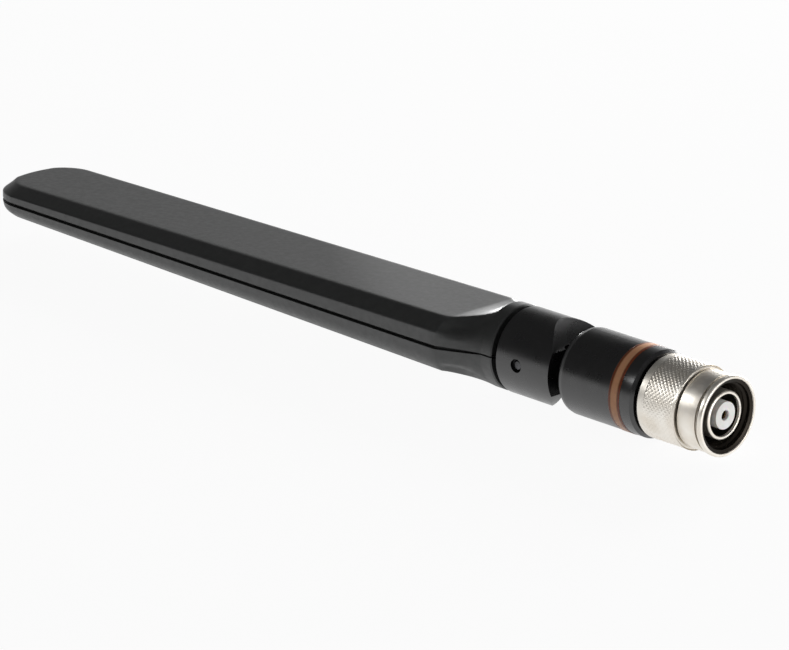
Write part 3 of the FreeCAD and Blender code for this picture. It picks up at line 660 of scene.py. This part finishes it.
def half_shell(insets, heights, angles, softness, between, flank):
    """The skin of one shell, outside, inside and across its collar's end.

    On the blade a point stands an inset inside the plan, on a level that falls evenly from
    the root to the tip. On the neck it moves to the collar's circle, across in step with
    the taper t and up or down by a ramp with a soft foot, k (sqrt(t^2 + 0.02) - sqrt 0.02),
    that a share of t^4 makes good at the collar. The flank is drawn in by 4h t(1-t)."""
    sign = 1 if heights[-1][0] > 0 else -1
    columns, spine_end = plan_walk()
    s = samples(softness, between)
    share = (columns[:, 0] - blade_root) / (blade_tip - blade_root)
    t = np.clip((blade_root - columns[:, 0]) / (blade_root - collar_rear), 0, 1)[:, None]

    def on_blade(insets, heights):
        corners = []
        for inset, (root, tip) in zip(insets, heights):
            if inset is None:
                x, y = np.minimum(columns[:, 0], spine_end), 0 * share
                at_arc = columns[:, 2] > 1e-6
                x = np.where(at_arc, spine_end, x)
            else:
                x = columns[:, 0] + columns[:, 2] * (columns[:, 4] - inset)
                y = columns[:, 1] + columns[:, 3] * (columns[:, 4] - inset)
            fall = np.clip((x - blade_root) / (blade_tip - blade_root), 0, 1)
            corners.append(np.stack([x, y, root + (tip - root) * fall], -1))
        return chain(np.stack(corners, 1), softness, s)

    def on_ring(radius, angle_at):
        """Points of a circle about the axis, radius by radius, at the chain's angles."""
        angle = np.radians(np.interp(s, *angle_at))
        across = radius * np.cos(angle)
        return across * np.sign(columns[:, 3:4]), sign * radius * np.sin(angle)

    outer = on_blade(insets, heights)
    inset_at = np.interp(s, (0, 1, 2), insets[:3])
    rim = s < 2
    chamfer = np.where(columns[:, :1] < collar_front + 0.01, collar_chamfer, 0)
    ring_y, ring_z = on_ring(collar_radius - chamfer + 0 * s, angles)
    ring_y = np.where(rim, (collar_radius - chamfer - inset_at) * np.sign(columns[:, 3:4]), ring_y)
    ring_z = np.where(rim, outer[:, :, 2], ring_z)
    on_neck = t > 0
    draw = neck_hollow * 4 * t * (1 - t) * np.interp(s, flank, [0, 1, 0])
    width = np.abs(outer[:, :, 1]) - draw * 0.7
    y = np.sign(columns[:, 3:4]) * width * (1 - t) + ring_y * t
    rise = neck_ramp * (np.sqrt(t ** 2 + 0.02) - math.sqrt(0.02))
    rise = rise + (1 - rise[0]) * t ** 4
    z = (outer[:, :, 2] - sign * draw * 0.7) * (1 - rise) + ring_z * rise
    outer[:, :, 1] = np.where(on_neck, y, outer[:, :, 1])
    outer[:, :, 2] = np.where(on_neck, z, outer[:, :, 2])

    roof = shell_skin if sign > 0 else -shell_skin
    inner_insets = [groove_depth, (groove_depth + shell_wall) / 2] + [shell_wall] * (len(insets) - 4)
    inner_insets += [shell_wall + 0.9, None]
    inner_heights = [(0.0, 0.0), (0.0, 0.0)]
    for height in heights[2:]:
        inner_heights.append((height[0] - roof, height[1] - roof))
    inner_heights[2] = (0.0, 0.0)
    inner = on_blade(inner_insets, inner_heights)
    bore = np.where(columns[:, :1] <= seat_rear, seat_radius, channel_radius)
    bore_y, bore_z = on_ring(bore + 0 * s, ([0, 2, len(insets) - 1], [0, 0, 90]))
    rim_share = np.clip(s / 2, 0, 1)
    rim_y = outer[:, :1, 1] * (1 - rim_share) + np.sign(columns[:, 3:4]) * bore * rim_share
    bore_y = np.where(s < 2, rim_y, bore_y)
    bore_z = np.where(s < 2, 0, bore_z)
    in_neck = columns[:, :1] <= cavity_front
    inner[:, :, 1] = np.where(in_neck, bore_y, inner[:, :, 1])
    inner[:, :, 2] = np.where(in_neck, bore_z, inner[:, :, 2])
    inner[:, 0] = outer[:, 0]
    grids = []
    for side in (outer, inner):
        grids.append((side * [-1, 1, 1], False, False))
    for end in (0, -1):
        grids.append((np.stack([outer[end], inner[end]]) * [-1, 1, 1], False, False))
    return grids


side_facing = plan_walk()[0][:, 3]
bevel = tip_bevel + (bevel_width - tip_bevel) * (side_facing ** 2 + 0.02) ** 0.3
face_grids = half_shell(
    insets=[groove_depth, groove_depth, 0.0, 0.0, bevel, None],
    heights=[
        (0.0, 0.0), (groove_half, groove_half), (groove_half, groove_half),
        (shoulder_root, shoulder_tip), (face_root, face_tip), (face_root, face_tip),
    ],
    angles=([0, 2, 3, 4, 5], [0, 1, 22, 62, 90]),
    softness=[0, 0.02, 0.04, 0.13, 0.1],
    between=[1, 2, 5, 7, 9],
    flank=[2.6, 3.4, 4.1],
)
face_shell = skin("face_shell", face_grids, grained_black)
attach(face_shell, "blade")
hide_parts("upper_shell")

back_grids = half_shell(
    insets=[groove_depth, groove_depth, 0.0, 0.3, 2.1, None],
    heights=[
        (0.0, 0.0), (-groove_half, -groove_half), (-groove_half, -groove_half),
        (side_level_root, side_level_tip), (-floor_root, -floor_tip), (-floor_root, -floor_tip),
    ],
    angles=([0, 2, 3, 4, 5], [0, 1, 22, 62, 90]),
    softness=[0, 0.02, 0.04, 0.45, 0.25],
    between=[1, 2, 5, 5, 9],
    flank=[2.9, 3.4, 3.9],
)
back_shell = skin("back_shell", back_grids, grained_black)
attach(back_shell, "blade")
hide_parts("lower_shell")

# Floor
# A plain white sweep, just under the lowest point of the barrel's band. What the camera and
# reflections see of it is mostly its own white, so that the shadow stays faint.
floor_level = cad_low.z
floor_reach = 3.0
floor_mesh = bpy.data.meshes.new("floor")
floor_mesh.from_pydata(
    [(x * floor_reach, y * floor_reach, floor_level) for x, y in ((-1, -1), (1, -1), (1, 1), (-1, 1))],
    [], [(0, 1, 2, 3)],
)
floor = bpy.data.objects.new("floor", floor_mesh)
bpy.context.scene.collection.objects.link(floor)
floor_white = finish("floor_white", (0.86, 0.86, 0.86), 0.9)
tree = floor_white.node_tree
path = tree.nodes.new("ShaderNodeLightPath")
glow = tree.nodes.new("ShaderNodeEmission")
seen = tree.nodes.new("ShaderNodeMath")
seen.operation = "MAXIMUM"
seen_through = tree.nodes.new("ShaderNodeMath")
seen_through.operation = "MAXIMUM"
weight = tree.nodes.new("ShaderNodeMath")
weight.operation = "MULTIPLY"
weight.inputs[1].default_value = 0.94
mixed = tree.nodes.new("ShaderNodeMixShader")
tree.links.new(path.outputs["Is Camera Ray"], seen.inputs[0])
tree.links.new(path.outputs["Is Glossy Ray"], seen.inputs[1])
tree.links.new(seen.outputs[0], seen_through.inputs[0])
tree.links.new(path.outputs["Is Transmission Ray"], seen_through.inputs[1])
tree.links.new(seen_through.outputs[0], weight.inputs[0])
tree.links.new(weight.outputs[0], mixed.inputs["Fac"])
tree.links.new(tree.nodes["Principled BSDF"].outputs["BSDF"], mixed.inputs[1])
tree.links.new(glow.outputs["Emission"], mixed.inputs[2])
tree.links.new(mixed.outputs["Shader"], tree.nodes["Material Output"].inputs["Surface"])
floor_mesh.materials.append(floor_white)

# Studio light
# The white sweep rises behind the object and fades out at a third of a right angle; the room
# above it and on the camera's side is dim, as in the photo. Three soft boxes light the whole,
# and two lamps in narrow tubes pick out the neck's crest and the nut.
world = bpy.data.worlds.new("studio")
bpy.context.scene.world = world
world.use_nodes = True
tree = world.node_tree
sky = tree.nodes["Background"]
way = tree.nodes.new("ShaderNodeTexCoord")
parts = tree.nodes.new("ShaderNodeSeparateXYZ")
sweep = tree.nodes.new("ShaderNodeValToRGB")
sweep.color_ramp.elements[0].position = 0.10
sweep.color_ramp.elements[0].color = (1.0, 1.0, 1.0, 1)
sweep.color_ramp.elements[1].position = 0.52
sweep.color_ramp.elements[1].color = (0.07, 0.07, 0.07, 1)
middle = sweep.color_ramp.elements.new(0.30)
middle.color = (0.42, 0.42, 0.42, 1)
facing = tree.nodes.new("ShaderNodeVectorMath")
facing.operation = "DOT_PRODUCT"
facing.inputs[1].default_value = (-0.7, 0.7, 0)
behind = tree.nodes.new("ShaderNodeMapRange")
behind.interpolation_type = "SMOOTHSTEP"
behind.inputs["From Min"].default_value = 0.15
behind.inputs["From Max"].default_value = 0.75
room = tree.nodes.new("ShaderNodeMix")
room.data_type = "RGBA"
room.inputs["A"].default_value = (0.09, 0.09, 0.09, 1)
plain = tree.nodes.new("ShaderNodeMix")
plain.data_type = "RGBA"
plain.inputs["B"].default_value = (1, 1, 1, 1)
path = tree.nodes.new("ShaderNodeLightPath")
tree.links.new(way.outputs["Generated"], parts.inputs["Vector"])
tree.links.new(way.outputs["Generated"], facing.inputs[0])
tree.links.new(facing.outputs["Value"], behind.inputs["Value"])
tree.links.new(parts.outputs["Z"], sweep.inputs["Fac"])
tree.links.new(behind.outputs["Result"], room.inputs["Factor"])
tree.links.new(sweep.outputs["Color"], room.inputs["B"])
tree.links.new(room.outputs["Result"], plain.inputs["A"])
tree.links.new(path.outputs["Is Camera Ray"], plain.inputs["Factor"])
tree.links.new(plain.outputs["Result"], sky.inputs["Color"])
sky.inputs["Strength"].default_value = 1.0


def soft_box(name, place, width, height, power):
    """An area lamp that faces the middle of the object."""
    lamp = bpy.data.lights.new(name, "AREA")
    lamp.shape = "RECTANGLE"
    lamp.size = width
    lamp.size_y = height
    lamp.energy = power
    box = bpy.data.objects.new(name, lamp)
    box.location = place
    aim = Vector((-0.08, 0, 0)) - Vector(place)
    box.rotation_euler = aim.to_track_quat("-Z", "Y").to_euler()
    bpy.context.scene.collection.objects.link(box)


soft_box("far_light", (-0.34, 0.95, 0.26), 0.4, 0.4, 12.0)
soft_box("front_light", (1.0, 0.15, 0.12), 0.3, 0.2, 6.2)
soft_box("near_light", (0.55, -0.75, 0.70), 0.6, 0.6, 0.6)


def snoot(name, place, target, angle, power):
    """A lamp in a narrow tube, which lights one spot of the object with a soft edge."""
    lamp = bpy.data.lights.new(name, "SPOT")
    lamp.energy = power
    lamp.spot_size = math.radians(angle)
    lamp.spot_blend = 1.0
    lamp.shadow_soft_size = 0.001
    tube = bpy.data.objects.new(name, lamp)
    tube.location = place
    tube.rotation_euler = (Vector(target) - Vector(place)).to_track_quat("-Z", "Y").to_euler()
    bpy.context.scene.collection.objects.link(tube)


snoot("neck_snoot", (-1.05, 0.68, 0.12), (-0.049, -0.002, 0.006), 2.2, 15.0)
snoot("nut_snoot", (-0.675, -0.611, 0.423), (0.001, 0, 0), 1.0, 7.5)

# Camera
# It stands where the photo was taken from: its bearing, height and roll, and the lens, were
# worked out from edges and circles of known size.
bearing = math.radians(44.83)
elevation = math.radians(18.56)
roll = math.radians(1.02)
camera_place = (0.444542, -0.522075, 0.243760)
focal_length = 210.44
sensor_width = 36.0
back_way = Vector((
    math.sin(bearing) * math.cos(elevation), -math.cos(bearing) * math.cos(elevation), math.sin(elevation),
))
level_right = Vector((math.cos(bearing), math.sin(bearing), 0))
level_up = back_way.cross(level_right)
right = level_right * math.cos(roll) + level_up * math.sin(roll)
up = back_way.cross(right)
lens = bpy.data.cameras.new("camera")
lens.lens = focal_length
lens.sensor_width = sensor_width
lens.clip_start = 0.01
lens.clip_end = 20
camera = bpy.data.objects.new("camera", lens)
camera.matrix_world = Matrix.Translation(camera_place) @ Matrix((right, up, back_way)).transposed().to_4x4()
bpy.context.scene.collection.objects.link(camera)
bpy.context.scene.camera = camera
bpy.context.scene.view_settings.view_transform = "Standard"
